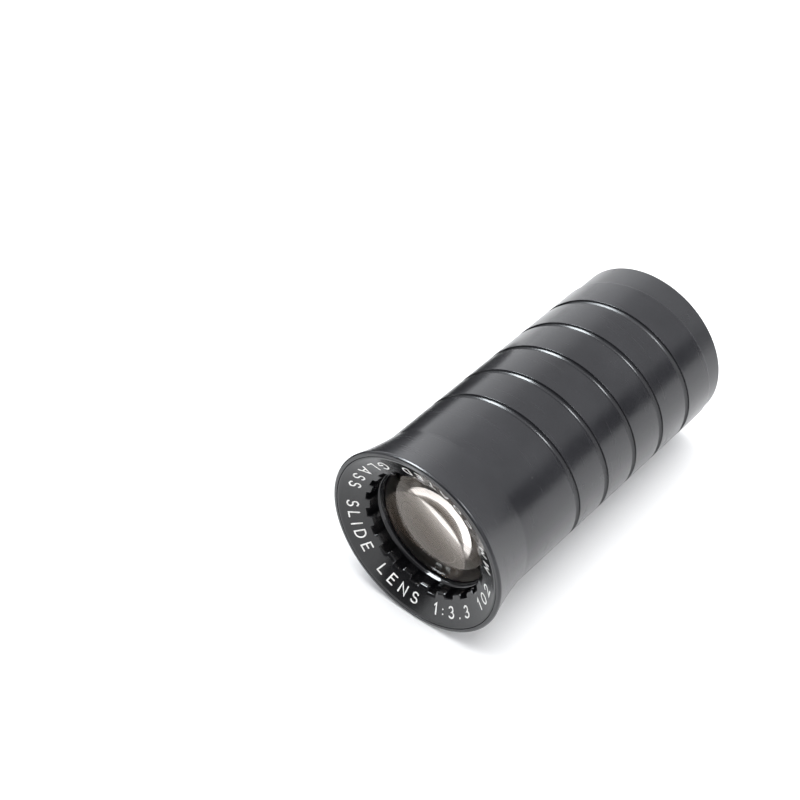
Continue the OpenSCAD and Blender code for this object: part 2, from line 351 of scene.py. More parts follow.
PHENOLIC = moulded(
    "moulded_phenolic", (0.0105, 0.0105, 0.0125), (0.0155, 0.0155, 0.018), 0.2, 0.28, 0.12)
BAND_PHENOLIC = moulded(
    "turned_phenolic", (0.016, 0.016, 0.018), (0.022, 0.022, 0.0245), 0.26, 0.34, 0.2)
RING_PHENOLIC = moulded(
    "name_ring_phenolic", (0.004, 0.004, 0.0048), (0.007, 0.007, 0.0078), 0.1, 0.17, 0.08)
GLOSS_BLACK = moulded(
    "gloss_black_ring", (0.004, 0.004, 0.005), (0.007, 0.007, 0.009), 0.06, 0.12, 0.05)
ANODISED = metal_black("black_anodised", (0.022, 0.022, 0.024), 0.34, 0.5, 0.6)
MATT_BLACK = metal_black("matt_black_metal", (0.01, 0.01, 0.01), 0.6, 0.78, 0.0)
FIBRE = fibre_red("red_fibre")
GLASS = optical_glass("coated_glass", (0.97, 0.9, 0.84))
WHITE_FILL = white_fill("engraving_fill")

# ---------------------------------------------------------------- barrel

# Rows across half the groove: the distance from its centre in half widths, and the share of its
# depth there. The last rows are level, and hold the lip crisp.
GROOVE_HALF = [
    (0.0, 1.0), (0.13, 0.99), (0.3, 0.95), (0.46, 0.89), (0.6, 0.8), (0.72, 0.69), (0.82, 0.57),
    (0.9, 0.42), (0.95, 0.3), (0.98, 0.18), (1.0, 0.09), (1.03, 0.025), (1.06, 0.0), (1.09, 0.0),
    (1.15, 0.0),
]
GROOVE_ROWS = [(-x, share) for x, share in reversed(GROOVE_HALF[1:])] + GROOVE_HALF
# Rows down the band's shoulder: the distance behind its edge in millimetres, and the share of its
# drop there.
SHOULDER_ROWS = [
    (-0.42, 0.0), (-0.3, 0.0), (-0.22, 0.04), (-0.15, 0.1), (-0.07, 0.27), (-0.018, 0.49),
    (0.0, 0.75), (0.02, 1.0), (0.08, 1.0),
]
# Crossings of the groove in one column, columns round the barrel, plain rows between crossings
SLOTS = 6
COLUMNS = 288
FILL_ROWS = 3
# Half the angle, in turns, between the two columns at the axial edge where the band begins
EDGE_HALF_TURN = 0.0004
REAR_ROUND = 0.3
REAR_BORE_R = 19.3
LEDGE_BORE_R = 18.8
RING_BORE_R = RING_THREAD_R + THREAD_GAP
RING_BORE_L = 7.2
CELL_BORE_R = CELL_R + RUNNING_GAP
HEAD_BORE_R = FACE_R + RUNNING_GAP
HEAD_DEPTH = 1.6


def groove_s(t):
    """Where the groove's centre is after t turns."""
    return GROOVE_START_S + GROOVE_PITCH * t


def shoulder_s(t):
    """Where the edge of the band's shoulder is after t turns."""
    return groove_s(t) - GROOVE_HALF_W - SHOULDER_LEAD


def groove_share(t):
    """How deep the groove is after t turns, from 0 to 1: it tapers in, and dies out in the band."""
    rise = (t - GROOVE_HOLD) / GROOVE_TAPER
    fall = (GROOVE_TURNS + GROOVE_FADE - t) / GROOVE_FADE
    share = min(1.0, rise, fall)
    return math.sqrt(max(share, 0.0))


def band_share(s, f):
    """How far the surface at s has dropped to the band, in the column at fraction f of a turn."""
    whole_turns = int(GROOVE_TURNS)
    first = whole_turns + f
    if first < GROOVE_TURNS:
        first += 1
    x = s - shoulder_s(first)
    if x <= SHOULDER_ROWS[0][0]:
        return 0.0
    for (x0, y0), (x1, y1) in zip(SHOULDER_ROWS, SHOULDER_ROWS[1:]):
        if x <= x1:
            return y0 + (y1 - y0) * (x - x0) / (x1 - x0)
    return 1.0


def front_rows():
    """The rounded lip and the bell, as (r, s)."""
    rows = [(HEAD_BORE_R + 0.02, 0.02), (HEAD_BORE_R + 0.1, 0.0), (HEAD_BORE_R + 0.2, 0.0)]
    for k in range(10):
        a = math.radians(-90 + 10 * k)
        rows.append((RIM_R - RIM_ROUND * (1 - math.cos(a)), RIM_ROUND * (1 + math.sin(a))))
    flare_steps = 24
    for u in [0.02] + [k / flare_steps for k in range(2, flare_steps + 1)]:
        s = RIM_ROUND + (FLARE_L - RIM_ROUND) * u
        rows.append((RIM_R + (BARREL_R - RIM_R) * u - 4 * FLARE_SAG * u * (1 - u), s))
    return rows + [(BARREL_R, FLARE_L + 0.25)]


def slot_rows(t, f, limit):
    """Rows over the shoulder and the groove at turn t, squeezed up where they would pass the limit."""
    rows = [(shoulder_s(t) + x, 0.0) for x, _ in SHOULDER_ROWS]
    rows += [(groove_s(t) + x * GROOVE_HALF_W, d * groove_share(t)) for x, d in GROOVE_ROWS]
    out = []
    for s, dip in rows:
        if s > limit:
            s = limit + (s - limit) * 0.001
        r = min(BARREL_R - BAND_STEP * band_share(s, f), BARREL_R - GROOVE_DEPTH * dip)
        out.append((r, s))
    return out


def fill(a, b, f, count=FILL_ROWS):
    """Rows evenly between two rows of the straight barrel, without either of them."""
    out = []
    for k in range(1, count + 1):
        s = a[1] + (b[1] - a[1]) * k / (count + 1)
        out.append((BARREL_R - BAND_STEP * band_share(s, f), s))
    return out


def rear_rows(f):
    """The rear end's rounded outer edge."""
    edge = BARREL_R - BAND_STEP * band_share(BARREL_L, f)
    rows = [(edge, BARREL_L - REAR_ROUND - 0.1)]
    for k in range(7):
        a = math.radians(15 * k)
        rows.append((edge - REAR_ROUND * (1 - math.cos(a)), BARREL_L - REAR_ROUND * (1 - math.sin(a))))
    return rows + [(edge - REAR_ROUND - 0.1, BARREL_L)]


def inner_rows(angle):
    """The bore from the rear end back to the lip, with the name ring's female thread."""
    ledge_s = CELL_BACK_S + STACK_GAP
    root_r = RING_BORE_R + THREAD_DEPTH
    rows = [
        (REAR_BORE_R + 0.5, BARREL_L), (REAR_BORE_R + 0.35, BARREL_L - 0.02),
        (REAR_BORE_R + 0.1, BARREL_L - 0.2), (REAR_BORE_R, BARREL_L - 0.5),
        (REAR_BORE_R - 0.01, BARREL_L - 1.2), (LEDGE_BORE_R + 0.02, ledge_s + 1.6),
        (LEDGE_BORE_R, ledge_s + 0.9), (LEDGE_BORE_R, ledge_s + 0.15),
        (LEDGE_BORE_R + 0.1, ledge_s), (CELL_BORE_R - 0.1, ledge_s), (CELL_BORE_R, ledge_s - 0.1),
        (CELL_BORE_R, RING_BORE_L + 1.0), (CELL_BORE_R, RING_BORE_L + 0.8),
        (root_r - 0.05, RING_BORE_L),
    ]
    steps = 60
    start, end = RING_BORE_L - 0.2, HEAD_DEPTH + 0.35
    for k in range(steps + 1):
        s = start + (end - start) * k / steps
        fade = min(1.0, k / 4, (steps - k) / 4)
        rows.append((root_r - fade * thread_dip(s, -angle, RING_PITCH, THREAD_DEPTH), s))
    return rows + [
        (root_r, HEAD_DEPTH + 0.1), (root_r + 0.1, HEAD_DEPTH), (HEAD_BORE_R - 0.1, HEAD_DEPTH),
        (HEAD_BORE_R, HEAD_DEPTH - 0.1), (HEAD_BORE_R, 0.2), (HEAD_BORE_R, 0.1),
    ]


def barrel_column(f):
    """One outline of the barrel, at fraction f of a turn from the groove's start.

    It is a list of sections: the front, then a fill and a slot for each crossing of the groove, then
    a fill and the rear with the whole inside.
    """
    angle = GROOVE_START_ANGLE - 360.0 * f
    rear = rear_rows(f)
    limit = rear[0][1] - 0.1
    sections = [front_rows()]
    for i in range(SLOTS):
        rows = slot_rows(i + f, f, limit)
        sections += [fill(sections[-1][-1], rows[0], f), rows]
    sections += [fill(sections[-1][-1], rear[0], f), rear + inner_rows(angle)]
    return angle, sections


def crossing(i):
    """Which of a column's sections is the groove's crossing number i."""
    return 2 * i + 2


def zip_faces(a, b):
    """Triangles between two neighbouring chains of (vertex, s), taking the nearer end first."""
    faces, i, j = [], 0, 0
    while i < len(a) - 1 or j < len(b) - 1:
        if j == len(b) - 1 or (i < len(a) - 1 and a[i + 1][1] <= b[j + 1][1]):
            faces.append((a[i][0], b[j][0], a[i + 1][0]))
            i += 1
        else:
            faces.append((a[i][0], b[j][0], b[j + 1][0]))
            j += 1
    return faces


def build_barrel():
    """The barrel's skin.

    The outer rows follow the groove round and come back one turn further on: crossing i of the last
    column meets crossing i + 1 of the first, and triangles close the gaps before and behind them.
    """
    edge = GROOVE_TURNS - int(GROOVE_TURNS)
    close = [GROOVE_HOLD, 2 * GROOVE_HOLD, edge - EDGE_HALF_TURN, edge + EDGE_HALF_TURN]
    even = [k / COLUMNS for k in range(COLUMNS)]
    fractions = sorted([f for f in even if abs(f - edge) > 3 * EDGE_HALF_TURN] + close)
    verts, columns = [], []
    for f in fractions:
        angle, sections = barrel_column(f)
        ids = []
        for rows in sections:
            ids.append([(len(verts) + k, s) for k, (r, s) in enumerate(rows)])
            verts += [point(r, angle, s) for r, s in rows]
        columns.append(ids)
    faces = []

    def strip(a, b, closed=False):
        count = len(a) if closed else len(a) - 1
        for k in range(count):
            m = (k + 1) % len(a)
            faces.append((a[k][0], a[m][0], b[m][0], b[k][0]))

    def zipped(a, b):
        faces.extend((p[0], p[2], p[1]) for p in zip_faces(a, b))

    for a, b in zip(columns, columns[1:]):
        strip(sum(a, []), sum(b, []), closed=True)
    last, first = columns[-1], columns[0]
    front, final, rear = 0, crossing(SLOTS - 1), crossing(SLOTS)
    strip(last[front], first[front])
    zipped(
        [last[front][-1]] + last[1] + [last[crossing(0)][0]],
        [first[front][-1]] + sum(first[1:crossing(1)], []) + [first[crossing(1)][0]])
    strip(sum(last[crossing(0):final - 1], []), sum(first[crossing(1):final + 1], []))
    zipped(
        [last[final - 2][-1]] + sum(last[final - 1:rear], []) + [last[rear][0]],
        [first[final][-1]] + first[final + 1] + [first[rear][0]])
    strip(last[rear] + [last[front][0]], first[rear] + [first[front][0]])
    barrel = finish_mesh(
        "moulded_barrel", verts, faces, PHENOLIC, "barrel", "barrel", sharp=50)
    finish_band(barrel.data)


def finish_band(mesh):
    """Gives the rear band's faces its own turned finish."""
    mesh.materials.append(BAND_PHENOLIC)
    front_y = RIM_Y + 70 * MM
    bore_r = (BARREL_R - 1.5) * MM
    band_r = (BARREL_R - BAND_STEP + 0.02) * MM
    for face in mesh.polygons:
        corners = [mesh.vertices[i].co for i in face.vertices]
        radii = [math.hypot(v.x, v.z) for v in corners]
        behind = min(v.y for v in corners) > front_y
        if behind and max(radii) < band_r and min(radii) > bore_r:
            face.material_index = 1


build_barrel()

# ---------------------------------------------------------------- name ring

CONE_EDGE_S = 0.05
CONE_SLOPE = (RING_INNER_S - CONE_EDGE_S) / (FACE_EDGE_R - LAND_R - 0.2)


def cone_s(r):
    """Depth of the name ring's lettered face behind the rim at radius r."""
    return CONE_EDGE_S + (FACE_EDGE_R - r) * CONE_SLOPE


def ring_outline(kind, angle):
    """The name ring's outline through a land, a notch, or the softened edge of a land."""
    rows = [
        (FACE_R, HEAD_DEPTH - 0.2), (FACE_R, 0.3), (FACE_R - 0.02, 0.18), (FACE_R - 0.1, 0.09),
        (FACE_EDGE_R + 0.08, 0.07),
    ]
    rows += [(r, cone_s(r)) for r in (23.22, 22.9, 21.9, 20.6, 19.3, 18.2, 17.65)]
    if kind == "notch":
        inner_r = NOTCH_R
        rows += [(NOTCH_R + 0.06, cone_s(NOTCH_R)), (NOTCH_R + 0.01, cone_s(NOTCH_R) + 0.07)]
        rows += [(NOTCH_R, s) for s in (3.5, 3.8)]
    else:
        soft = 0.07 if kind == "edge" else 0.0
        inner_r = LAND_R + soft
        rows += [
            (17.2, cone_s(17.2) + soft * 0.3), (LAND_R + 0.32, cone_s(LAND_R + 0.32) + soft),
            (inner_r + 0.14, RING_INNER_S + 0.07 + soft),
            (inner_r + 0.03, RING_INNER_S + 0.24 + soft),
        ]
    rows += [(inner_r, s) for s in (4.6, 5.6, RING_BACK_S - 0.1)]
    root_r = RING_THREAD_R - THREAD_DEPTH
    rows += [
        (inner_r + 0.08, RING_BACK_S), (NOTCH_R + 0.2, RING_BACK_S), (root_r - 0.2, RING_BACK_S),
        (root_r - 0.07, RING_BACK_S - 0.06),
    ]
    steps = 40
    start, end = RING_BACK_S - 0.25, HEAD_DEPTH + 0.9
    for k in range(steps + 1):
        s = start + (end - start) * k / steps
        height = THREAD_DEPTH - thread_dip(s, -angle, RING_PITCH, THREAD_DEPTH)
        rows.append((root_r + height * run_in(k, steps), s))
    relief_r = root_r - 0.1
    underside_s = HEAD_DEPTH - STACK_GAP
    return rows + [
        (relief_r, HEAD_DEPTH + 0.6), (relief_r, HEAD_DEPTH + 0.1), (relief_r + 0.1, underside_s),
        (FACE_R - 0.1, underside_s), (FACE_R - 0.02, HEAD_DEPTH - 0.1),
    ]


def build_name_ring():
    """The lettered ring, sector by sector: each has a notch in its middle and half a land either side."""
    h = NOTCH_HALF_ANGLE
    half = [(h + 0.12, "edge"), (h + 0.45, "land"), (h + 2.3, "land")]
    sector = [(-a, kind) for a, kind in reversed(half)]
    sector += [(a, "notch") for a in (-h + 0.1, -h + 0.5, -h / 2, 0.0, h / 2, h - 0.5, h - 0.1)]
    sector += half + [(9.0, "land")]
    columns = []
    for i in range(NOTCHES):
        centre = NOTCH_FIRST_ANGLE + i * 360.0 / NOTCHES
        columns += [(centre + a, ring_outline(kind, centre + a)) for a, kind in sector]
    verts, faces = loop_skin(columns)
    # Starting each face from its other end splits the notches' slanting walls along the other diagonal.
    faces = [tuple(reversed(face)) for face in faces]
    finish_mesh(
        "name_ring_body", verts, faces, RING_PHENOLIC, "name_ring", "name_ring",
        sharp=38)


build_name_ring()

# ---------------------------------------------------------------- lettering

LETTERING = "COATED GLASS SLIDE LENS 1:3.3 102 MM "
LETTER_BASE_R = 21.35
LETTER_TOP_R = 18.95
LETTER_HALF_STROKE = 0.195
LETTERING_START = 44.0
LETTER_PROUD = 0.02
LETTER_SUNK = 0.05


def arc(cx, cy, rx, ry, start, end, steps=12):
    """Points along an ellipse from one angle to another, in degrees."""
    turn = [math.radians(start + (end - start) * k / steps) for k in range(steps + 1)]
    return [(cx + rx * math.cos(a), cy + ry * math.sin(a)) for a in turn]


def oval(width):
    """A closed upright oval as high as the letters' body."""
    return arc(width / 2, 0.5, width / 2, 0.5, 90, 450, 24)[:-1] + ["closed"]


# Each character is its width and its strokes, on a body one unit high. A stroke whose last item is
# "closed" comes back to its start.
GLYPHS = {
    "A": (0.8, [[(0, 0), (0.4, 1), (0.8, 0)], [(0.14, 0.33), (0.66, 0.33)]]),
    "C": (0.76, [arc(0.44, 0.5, 0.44, 0.5, 48, 312, 20)]),
    "D": (0.7, [
        [(0, 0), (0, 1), (0.24, 1)] + arc(0.24, 0.5, 0.46, 0.5, 75, -75, 10)
        + [(0.24, 0), "closed"]]),
    "E": (0.54, [[(0.54, 1), (0, 1), (0, 0), (0.54, 0)], [(0, 0.52), (0.46, 0.52)]]),
    "G": (0.82, [arc(0.44, 0.5, 0.44, 0.5, 48, 350, 22) + [(0.86, 0.42), (0.48, 0.42)]]),
    "I": (0.06, [[(0.03, 0), (0.03, 1)]]),
    "L": (0.5, [[(0, 1), (0, 0), (0.5, 0)]]),
    "M": (0.86, [[(0, 0), (0.1, 1), (0.43, 0.22), (0.76, 1), (0.86, 0)]]),
    "N": (0.66, [[(0, 0), (0, 1), (0.66, 0), (0.66, 1)]]),
    "O": (0.86, [oval(0.86)]),
    "S": (0.6, [arc(0.31, 0.75, 0.27, 0.25, 30, 255) + arc(0.29, 0.26, 0.3, 0.26, 70, -155)]),
    "T": (0.68, [[(0, 1), (0.68, 1)], [(0.34, 1), (0.34, 0)]]),
    "0": (0.62, [oval(0.62)]),
    "1": (0.22, [[(0, 0.8), (0.2, 1), (0.2, 0)]]),
    "2": (0.58, [arc(0.29, 0.7, 0.28, 0.3, 165, -35) + [(0.0, 0.0), (0.6, 0.0)]]),
    "3": (0.56, [arc(0.26, 0.75, 0.25, 0.25, 150, -75) + arc(0.26, 0.26, 0.29, 0.26, 75, -150)]),
    ":": (0.1, [[(0.05, 0.18), (0.05, 0.2)], [(0.05, 0.62), (0.05, 0.64)]]),
    ".": (0.1, [[(0.05, 0.02), (0.05, 0.04)]]),
    " ": (0.5, []),
}


def stroke_sides(path, closed, half):
    """The left and right edges of a stroke, mitred at its corners."""
    left, right = [], []
    n = len(path)
    for k, p in enumerate(path):
        before = path[(k - 1) % n] if closed or k > 0 else None
        after = path[(k + 1) % n] if closed or k < n - 1 else None
        u = (p - before).normalized() if before is not None else (after - p).normalized()
        v = (after - p).normalized() if after is not None else u
        side = Vector((-u.y - v.y, u.x + v.x))
        side.normalize()
        reach = half / max(side.dot(Vector((-u.y, u.x))), 0.45)
        left.append(p + side * reach)
        right.append(p - side * reach)
    return left, right


def round_end(centre, start, half, steps=6):
    """Points of a half circle past a stroke's end, without its two ends."""
    a0 = math.atan2(start.y - centre.y, start.x - centre.x)
    turn = [a0 - math.pi * k / steps for k in range(1, steps)]
    return [centre + Vector((math.cos(a), math.sin(a))) * half for a in turn]


def build_lettering():
    """Generic lettering round the name ring's cone: ribbons of paint, each a little proud of it."""
    verts, faces = [], []
    mid_r = (LETTER_BASE_R + LETTER_TOP_R) / 2
    height = (LETTER_BASE_R - LETTER_TOP_R) * math.hypot(1, CONE_SLOPE)
    across = 1 / math.hypot(1, CONE_SLOPE)
    normal = Vector((-CONE_SLOPE * across, -across))

    def on_cone(p, lift):
        """The place in the frame of a point of the flat lettering, lifted off the cone."""
        r = LETTER_BASE_R - p.y * across
        base = Vector((r, cone_s(r))) + normal * lift
        return point(base.x, math.degrees(p.x / mid_r), base.y)

    def ribbon(left, right, end_arc, start_arc):
        """An open stroke: top, underside and walls round its whole outline."""
        ring = left + end_arc + list(reversed(right)) + start_arc
        base = len(verts)
        verts.extend(on_cone(p, LETTER_PROUD) for p in ring)
        verts.extend(on_cone(p, -LETTER_SUNK) for p in ring)
        n, m = len(ring), len(left)
        right_end = m + len(end_arc)
        opposite = list(reversed(range(right_end, right_end + m)))
        tops = [(k, k + 1, opposite[k + 1], opposite[k]) for k in range(m - 1)]
        tops += [tuple(range(m - 1, right_end + 1)), (*range(right_end + m - 1, n), 0)]
        for top in tops:
            faces.append(tuple(base + k for k in top))
            faces.append(tuple(base + k + n for k in reversed(top)))
        for k in range(n):
            j = (k + 1) % n
            faces.append((base + k, base + k + n, base + j + n, base + j))

    def closed_ribbon(left, right):
        """A closed stroke, such as an O."""
        m = len(left)
        base = len(verts)
        for lift in (LETTER_PROUD, -LETTER_SUNK):
            verts.extend(on_cone(p, lift) for p in left)
            verts.extend(on_cone(p, lift) for p in right)
        for k in range(m):
            j = (k + 1) % m
            lt, rt, lb, rb = ([base + q * m + k, base + q * m + j] for q in range(4))
            faces.extend([(lt[0], lt[1], rt[1], rt[0]), (lb[1], lb[0], rb[0], rb[1])])
            faces.extend([(lt[1], lt[0], lb[0], lb[1]), (rt[0], rt[1], rb[1], rb[0])])

    widths = [GLYPHS[c][0] * height for c in LETTERING]
    room = 2 * math.pi * mid_r - sum(widths)
    gap = room / len(LETTERING)
    x = math.radians(LETTERING_START) * mid_r
    for character, width in zip(LETTERING, widths):
        for stroke in GLYPHS[character][1]:
            closed = stroke[-1] == "closed"
            points = stroke[:-1] if closed else stroke
            path = [Vector((x + px * height, py * height)) for px, py in points]
            left, right = stroke_sides(path, closed, LETTER_HALF_STROKE)
            if closed:
                closed_ribbon(left, right)
            else:
                end_arc = round_end(path[-1], left[-1], LETTER_HALF_STROKE)
                start_arc = round_end(path[0], right[0], LETTER_HALF_STROKE)
                ribbon(left, right, end_arc, start_arc)
        x += width + gap
    finish_mesh("engraved_lettering", verts, faces, WHITE_FILL, "name_ring", sharp=30)


build_lettering()

# ---------------------------------------------------------------- glasses and their mounts

GLASS_R = 17.0
MIDDLE_R = 14.0
MIDDLE_FLAT_R = 12.5
FRONT_VERTEX_S = 4.25
FRONT_CURVE, FRONT_BACK_CURVE, FRONT_THICK = 36.0, 120.0, 7.35
MIDDLE_FRONT_CURVE, MIDDLE_BACK_CURVE, MIDDLE_THICK = 45.1, 41.2, 2.0
REAR_FRONT_CURVE, REAR_CURVE, REAR_THICK = 161.9, 37.4, 7.0
FRONT_AIR, REAR_AIR = 12.2, 9.7
FRONT_BACK_S = FRONT_VERTEX_S + FRONT_THICK
MIDDLE_VERTEX_S = FRONT_BACK_S + FRONT_AIR
MIDDLE_BACK_S = MIDDLE_VERTEX_S + MIDDLE_THICK
REAR_VERTEX_S = MIDDLE_BACK_S + REAR_AIR
REAR_BACK_S = REAR_VERTEX_S + REAR_THICK
BEVEL = 0.15


def surface(vertex, curve, bend, edge, steps=40):
    """A polished surface out to the radius edge, bending backwards (1) or forwards (-1) there."""
    rows = [edge * k / steps for k in range(steps + 1)]
    return [(h, vertex + bend * sag(curve, h)) for h in rows]


def glass(name, node, front, back):
    """A glass between two surfaces, with a ground edge and a fine bevel at each side of it."""
    (r, front_s), (_, back_s) = front[-1], back[-1]
    edge = [(r - BEVEL, front_s), (r, front_s + BEVEL), (r, back_s - BEVEL), (r - BEVEL, back_s)]
    outline = front[:-1] + edge + list(reversed(back[:-1]))
    turned_solid(name, outline, GLASS, "barrel", node)


MIDDLE_EDGE_FRONT_S = MIDDLE_VERTEX_S - sag(MIDDLE_FRONT_CURVE, MIDDLE_FLAT_R)
MIDDLE_EDGE_BACK_S = MIDDLE_BACK_S + sag(MIDDLE_BACK_CURVE, MIDDLE_FLAT_R)
REAR_EDGE_FRONT_S = REAR_VERTEX_S + sag(REAR_FRONT_CURVE, GLASS_R)
REAR_EDGE_BACK_S = REAR_BACK_S - sag(REAR_CURVE, GLASS_R)

glass(
    "front_glass", "front_element",
    surface(FRONT_VERTEX_S, FRONT_CURVE, 1, GLASS_R),
    surface(FRONT_BACK_S, FRONT_BACK_CURVE, -1, GLASS_R))
glass(
    "middle_glass", "middle_element",
    surface(MIDDLE_VERTEX_S, MIDDLE_FRONT_CURVE, -1, MIDDLE_FLAT_R)
    + [(MIDDLE_R, MIDDLE_EDGE_FRONT_S)],
    surface(MIDDLE_BACK_S, MIDDLE_BACK_CURVE, 1, MIDDLE_FLAT_R) + [(MIDDLE_R, MIDDLE_EDGE_BACK_S)])
glass(
    "rear_glass", "rear_element",
    surface(REAR_VERTEX_S, REAR_FRONT_CURVE, 1, GLASS_R),
    surface(REAR_BACK_S, REAR_CURVE, -1, GLASS_R))

TUBE_R = GLASS_R - SLIP_FIT
SPACER_MOUTH_R = GLASS_R - 1.3
RIDGE_PITCH, RIDGE_DEPTH = 0.7, 0.12
STOP_BORE_R = 11.6
STOP_FRONT_S = MIDDLE_EDGE_BACK_S + STACK_GAP
STOP_BACK_S = STOP_FRONT_S + 0.5
WASHER_BORE_R = 15.5
WASHER_FRONT_S = REAR_EDGE_BACK_S + 0.2
WASHER_BACK_S = REAR_EDGE_BACK_S + 1.55


def build_slip_ring():
    """Glossy ring whose lip curves down to the front glass; its underside follows the glass."""
    edge_r, curve, outer_r = 15.65, 2.0, 19.6
    seat_s = FRONT_VERTEX_S + sag(FRONT_CURVE, edge_r) - STACK_GAP
    flange_s = RING_BACK_S + STACK_GAP
    back_s = CELL_FRONT_S - STACK_GAP
    turn = [math.radians(182 + 4 * k) for k in range(12)]
    rows = [(edge_r + curve + curve * math.cos(a), seat_s + curve * math.sin(a)) for a in turn]
    rows += [
        (16.34, flange_s - 0.35), (16.37, flange_s - 0.29), (16.38, flange_s - 0.15),
        (16.39, flange_s - 0.05), (16.44, flange_s), (16.6, flange_s),
        (outer_r - 0.2, flange_s), (outer_r - 0.05, flange_s + 0.03), (outer_r, flange_s + 0.15),
        (outer_r, back_s - 0.15), (outer_r - 0.1, back_s), (17.0, back_s), (16.8, back_s),
    ]
    underside = (16.7, 16.3, 15.9, 15.7)
    rows += [(r, FRONT_VERTEX_S + sag(FRONT_CURVE, r) - STACK_GAP) for r in underside]
    turned(
        "slip_ring", rows, GLOSS_BLACK, "front_slip_ring", "front_slip_ring",
        segments=288)


def build_lens_cell():
    """Tube round all the glasses, opened out at the back for the retaining ring's thread."""
    bore_r, thread_bore_r = GLASS_R + RUNNING_GAP, REAR_THREAD_R + THREAD_GAP
    thread_s = REAR_EDGE_BACK_S - 0.3
    turned("lens_cell_tube", blunted([
        (bore_r, CELL_FRONT_S), (CELL_R, CELL_FRONT_S), (CELL_R, CELL_BACK_S),
        (thread_bore_r, CELL_BACK_S), (thread_bore_r, thread_s), (bore_r, thread_s),
    ]), ANODISED, "barrel", "lens_cell")


def ridged(start, end):
    """Fine annular steps along a bore from start to end, which break up stray light."""
    (r0, s0), (r1, s1) = start, end
    count = max(int(abs(s1 - s0) / RIDGE_PITCH), 1)
    out = []
    for k in range(count):
        u, v = k / count, (k + 0.85) / count
        out.append((r0 + (r1 - r0) * u, s0 + (s1 - s0) * u))
        out.append((r0 + (r1 - r0) * v + RIDGE_DEPTH, s0 + (s1 - s0) * v))
    return out + [end]


def build_front_spacer():
    """Tube from the front glass to the middle one, narrowing at its back to seat on it."""
    front = FRONT_BACK_S - sag(FRONT_BACK_CURVE, SPACER_MOUTH_R) + STACK_GAP
    back = MIDDLE_EDGE_FRONT_S - STACK_GAP
    nose_r = MIDDLE_R - 0.2
    turned("front_spacer_tube", [
        (TUBE_R, front), (TUBE_R, back - 3), (nose_r, back - 1), (nose_r, back),
        (MIDDLE_FLAT_R, back),
    ] + ridged((MIDDLE_FLAT_R, back - 1.4), (SPACER_MOUTH_R, front)),
        MATT_BLACK, "barrel", "front_spacer")


def build_aperture_stop():
    """Thin ring behind the middle glass."""
    outer_r = MIDDLE_R - SLIP_FIT
    turned("stop_disc", blunted([
        (STOP_BORE_R, STOP_FRONT_S), (outer_r, STOP_FRONT_S), (outer_r, STOP_BACK_S),
        (STOP_BORE_R, STOP_BACK_S),
    ], 0.06), MATT_BLACK, "barrel", "aperture_stop")


def build_rear_spacer():
    """Cup round the middle glass and the stop, and a tube back to the rear glass."""
    cup_r, throat_r = MIDDLE_R + RUNNING_GAP, 12.2
    front = MIDDLE_EDGE_FRONT_S + 1
    throat_s = STOP_BACK_S + STACK_GAP
    back = REAR_EDGE_FRONT_S - STACK_GAP
    turned("rear_spacer_cup", [
        (cup_r, front), (TUBE_R, front), (TUBE_R, back),
    ] + ridged((SPACER_MOUTH_R, back - 0.2), (throat_r, throat_s + 1.5)) + [
        (throat_r, throat_s), (cup_r, throat_s),
    ], MATT_BLACK, "barrel", "rear_spacer")


def build_washer():
    """Fibre washer whose front leans on the rear glass."""
    outer_r = REAR_THREAD_R - 0.5
    seat_s = REAR_BACK_S - sag(REAR_CURVE, WASHER_BORE_R) + STACK_GAP
    turned("fibre_washer", blunted([
        (WASHER_BORE_R, seat_s), (GLASS_R, WASHER_FRONT_S), (outer_r, WASHER_FRONT_S),
        (outer_r, WASHER_BACK_S), (WASHER_BORE_R, WASHER_BACK_S),
    ], 0.06), FIBRE, "rear_washer", "rear_washer")


def build_rear_ring():
    """Threaded ring whose bore opens out at the back, with two spanner slots across the back."""
    front = WASHER_BACK_S + STACK_GAP
    back = front + 3.6
    bore_r, thread_depth = 15.0, 0.5
    root_r = REAR_THREAD_R - thread_depth
    slot_half, slot_depth = 2.8, 1.4

    def outline(angle, depth, soft):
        """The ring's outline where its back is cut down by depth, and softened by soft."""
        top = back - depth - soft
        rows = [
            (bore_r, front + 0.1), (bore_r + 0.1, front), (REAR_THREAD_R - 0.75, front),
            (REAR_THREAD_R - 0.6, front + 0.1),
        ]
        steps = 36
        for k in range(steps + 1):
            s = front + 0.3 + (top - front - 0.6) * k / steps
            height = thread_depth - thread_dip(-s, angle, REAR_PITCH, thread_depth)
            rows.append((root_r + height * run_in(k, steps), s))
        return rows + [
            (REAR_THREAD_R - 0.6, top), (REAR_THREAD_R - 0.75, top), (16.9, top), (16.1, top),
            (15.95, min(top, back - 0.03)), (15.4, min(top, back - 1.0)),
            (15.05, min(top, back - 1.5) - 0.02), (bore_r, min(top, back - 1.7) - 0.05),
        ]

    near_slot = [
        (-slot_half - 0.5, 0.0, 0.0), (-slot_half - 0.12, 0.0, 0.06),
        (-slot_half + 0.1, slot_depth, 0.0), (0.0, slot_depth, 0.0),
        (slot_half - 0.1, slot_depth, 0.0), (slot_half + 0.12, 0.0, 0.06),
        (slot_half + 0.5, 0.0, 0.0),
    ]
    columns = []
    for side in (0.0, 180.0):
        columns += [(side + a, outline(side + a, depth, soft)) for a, depth, soft in near_slot]
        plain = [side + 5.0 + 170.0 * k / 84 for k in range(85)]
        columns += [(a, outline(a, 0.0, 0.0)) for a in plain]
    verts, faces = loop_skin(columns)
    finish_mesh(
        "rear_ring", verts, faces, ANODISED, "rear_retaining_ring", "rear_retaining_ring",
        sharp=38)


build_slip_ring()
build_lens_cell()
build_front_spacer()
build_aperture_stop()
build_rear_spacer()
build_washer()
build_rear_ring()

# ---------------------------------------------------------------- table, light and camera


